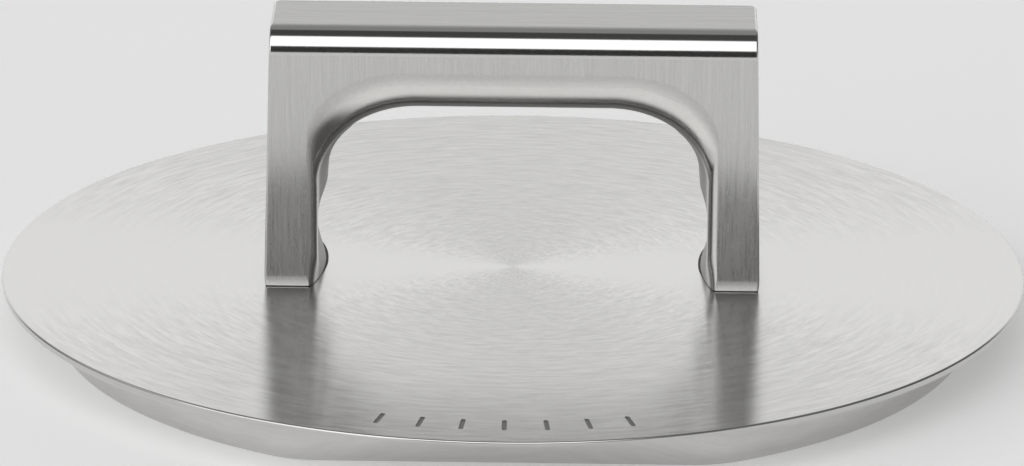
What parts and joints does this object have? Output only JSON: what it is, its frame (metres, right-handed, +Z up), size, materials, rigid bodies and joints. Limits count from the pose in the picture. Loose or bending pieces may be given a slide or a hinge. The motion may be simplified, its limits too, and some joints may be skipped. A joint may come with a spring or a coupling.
{
  "type": "patty press",
  "caption": "Round flat-fronted mould pan with a lift-off press: a wide round plate with a bridge handle on top and a shallow platen below.",
  "frame": {"origin": "centre of the mould's underside, on the table, on the axis of the round plate", "axes": "+Z up, -Y to the front where the mould is flat and the grip marks are, +X to the right along the handle"},
  "size_m": [0.2, 0.2, 0.0632],
  "materials": {
    "mould_steel": "drawn stainless steel, fine satin, brushed round the wall",
    "plate_steel": "stainless steel, circular brushed, polished rim",
    "platen_steel": "drawn stainless steel, fine satin",
    "core_aluminium": "machined, unseen",
    "handle_steel": "cast stainless steel, brushed faces with polished roundings",
    "gasket_silicone": "matt black silicone",
    "screw_steel": "bright stainless fasteners"
  },
  "bodies": {
    "mould": {"mould_pan": "mould_steel"},
    "press": {"press_plate": "plate_steel", "platen": "platen_steel", "platen_core": "core_aluminium", "handle": "handle_steel", "foot_gaskets": "gasket_silicone", "handle_screws": "screw_steel", "lock_washers": "screw_steel"}
  },
  "joints": [
    {"name": "press_lift", "type": "slide", "parent": "mould", "child": "press", "axis": [0, 0, 1], "range_m": [0, 0.06]}
  ]
}
